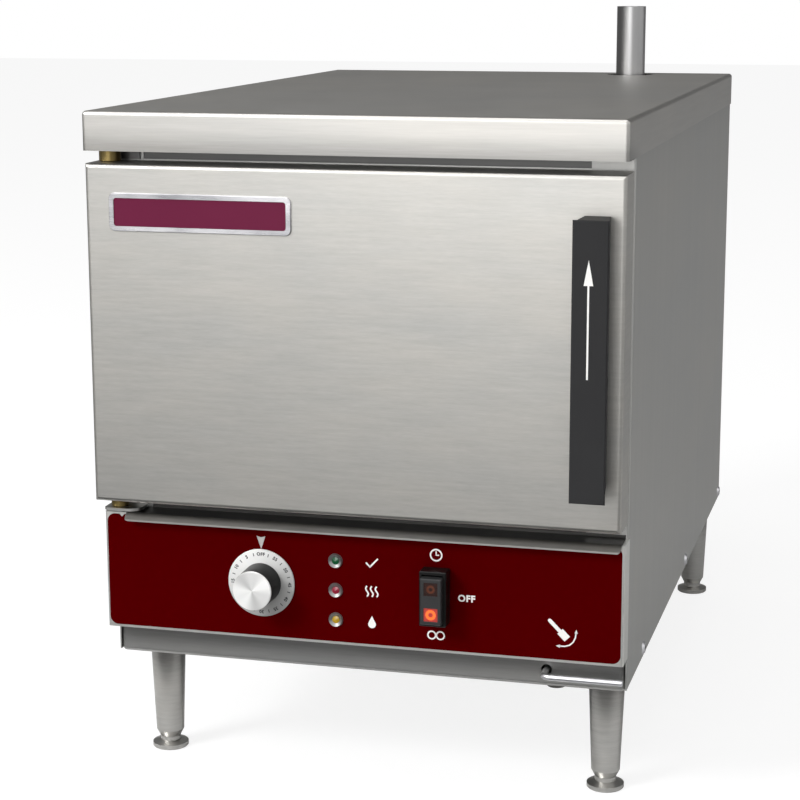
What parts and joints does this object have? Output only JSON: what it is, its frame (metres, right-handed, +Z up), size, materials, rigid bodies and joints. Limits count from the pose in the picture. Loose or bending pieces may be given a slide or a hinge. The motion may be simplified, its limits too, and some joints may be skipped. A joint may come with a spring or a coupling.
{
  "type": "countertop steamer",
  "caption": "Countertop cabinet steamer with a side-hinged insulated door, slide-up pull latch, timer and lamp panel, drip tray, drain lever, vent pipe and adjustable legs.",
  "frame": {"origin": "on the ground under the middle of the whole object's bounding box", "axes": "+Z up, +Y from the door to the back, +X to the right as seen from the front"},
  "size_m": [0.462, 0.7902, 0.6657],
  "materials": {
    "stainless": "brushed",
    "mineral_wool": "matt",
    "cast_aluminium": "cast",
    "dark_red_film": "satin",
    "chromed_ring": "polished",
    "green_lens": "gloss",
    "red_lens": "gloss",
    "yellow_lens": "gloss",
    "zinc_steel": "plated",
    "spun_aluminium": "spun",
    "black_plastic": "satin",
    "grey_plastic": "matt",
    "amber_window": "gloss",
    "gasket_rubber": "matt",
    "burgundy_enamel": "enamel with a silver rim",
    "brass": "turned"
  },
  "bodies": {
    "cabinet": {"top_cover": "stainless", "side_panel_left": "stainless", "side_panel_right": "stainless", "rear_panel": "stainless", "base_pan": "stainless", "side_screws": "stainless", "front_frame": "stainless", "cooking_chamber": "stainless", "chamber_insulation": "mineral_wool", "pan_rack_left": "stainless", "pan_rack_right": "stainless", "heater_plate": "cast_aluminium", "vent_pipe": "stainless", "control_housing": "stainless", "control_overlay": "dark_red_film", "lamp_bezels": "chromed_ring", "lamp_lens_green": "green_lens", "lamp_lens_red": "red_lens", "lamp_lens_yellow": "yellow_lens", "timer_body": "zinc_steel", "switch_housing": "black_plastic", "contactor": "grey_plastic", "terminal_block": "grey_plastic", "cable_gland": "black_plastic", "latch_strike": "zinc_steel", "drain_pipe": "stainless", "drain_valve_body": "brass", "hinge_bracket_upper": "stainless", "hinge_bracket_lower": "stainless", "hinge_bush_upper": "brass", "hinge_bush_lower": "brass", "hinge_pins": "stainless", "leg_front_left": "stainless", "leg_front_right": "stainless", "leg_rear_left": "stainless", "leg_rear_right": "stainless"},
    "door": {"door_outer_panel": "stainless", "door_inner_panel": "stainless", "door_insulation": "mineral_wool", "door_gasket": "gasket_rubber", "nameplate": "burgundy_enamel", "hinge_blocks": "zinc_steel", "latch_guides": "zinc_steel", "latch_spring": "zinc_steel"},
    "handle": {"handle_grip": "black_plastic", "latch_slide": "zinc_steel"},
    "timer_knob": {"timer_knob": "black_plastic", "knob_cap": "spun_aluminium", "timer_dial": "spun_aluminium", "timer_shaft": "zinc_steel"},
    "rocker": {"switch_rocker": "black_plastic", "rocker_window_upper": "amber_window", "rocker_window_lower": "amber_window"},
    "drain_lever": {"drain_lever": "stainless", "valve_ball": "chromed_ring"},
    "drip_tray": {"drip_tray": "stainless"},
    "foot_front_left": {"foot_front_left": "stainless"},
    "foot_front_right": {"foot_front_right": "stainless"},
    "foot_rear_left": {"foot_rear_left": "stainless"},
    "foot_rear_right": {"foot_rear_right": "stainless"}
  },
  "joints": [
    {"name": "door_hinge", "type": "hinge", "parent": "cabinet", "child": "door", "pos_m": [-0.217, -0.3354, 0.4026], "axis": [0, 0, -1], "range_deg": [0, 100]},
    {"name": "handle_lift", "type": "slide", "parent": "door", "child": "handle", "axis": [0, 0, 1], "range_m": [0, 0.012], "stiffness_N_per_m": 400, "springref_m": -0.01},
    {"name": "timer_turn", "type": "hinge", "parent": "cabinet", "child": "timer_knob", "pos_m": [-0.0856, -0.3433, 0.1879], "axis": [0, 1, 0], "range_deg": [0, 330]},
    {"name": "rocker_tilt", "type": "hinge", "parent": "cabinet", "child": "rocker", "pos_m": [0.0699, -0.3514, 0.1882], "axis": [1, 0, 0], "range_deg": [-8, 8]},
    {"name": "drain_lever_turn", "type": "hinge", "parent": "cabinet", "child": "drain_lever", "pos_m": [0.1602, -0.3168, 0.1219], "axis": [0, 1, 0], "range_deg": [0, 90]},
    {"name": "drip_tray_pull", "type": "slide", "parent": "cabinet", "child": "drip_tray", "axis": [0, -1, 0], "range_m": [0, 0.022]},
    {"name": "foot_front_left_screw", "type": "slide", "parent": "cabinet", "child": "foot_front_left", "axis": [0, 0, 1], "range_m": [-0.019, 0]},
    {"name": "foot_front_right_screw", "type": "slide", "parent": "cabinet", "child": "foot_front_right", "axis": [0, 0, 1], "range_m": [-0.019, 0]},
    {"name": "foot_rear_left_screw", "type": "slide", "parent": "cabinet", "child": "foot_rear_left", "axis": [0, 0, 1], "range_m": [-0.019, 0]},
    {"name": "foot_rear_right_screw", "type": "slide", "parent": "cabinet", "child": "foot_rear_right", "axis": [0, 0, 1], "range_m": [-0.019, 0]}
  ]
}
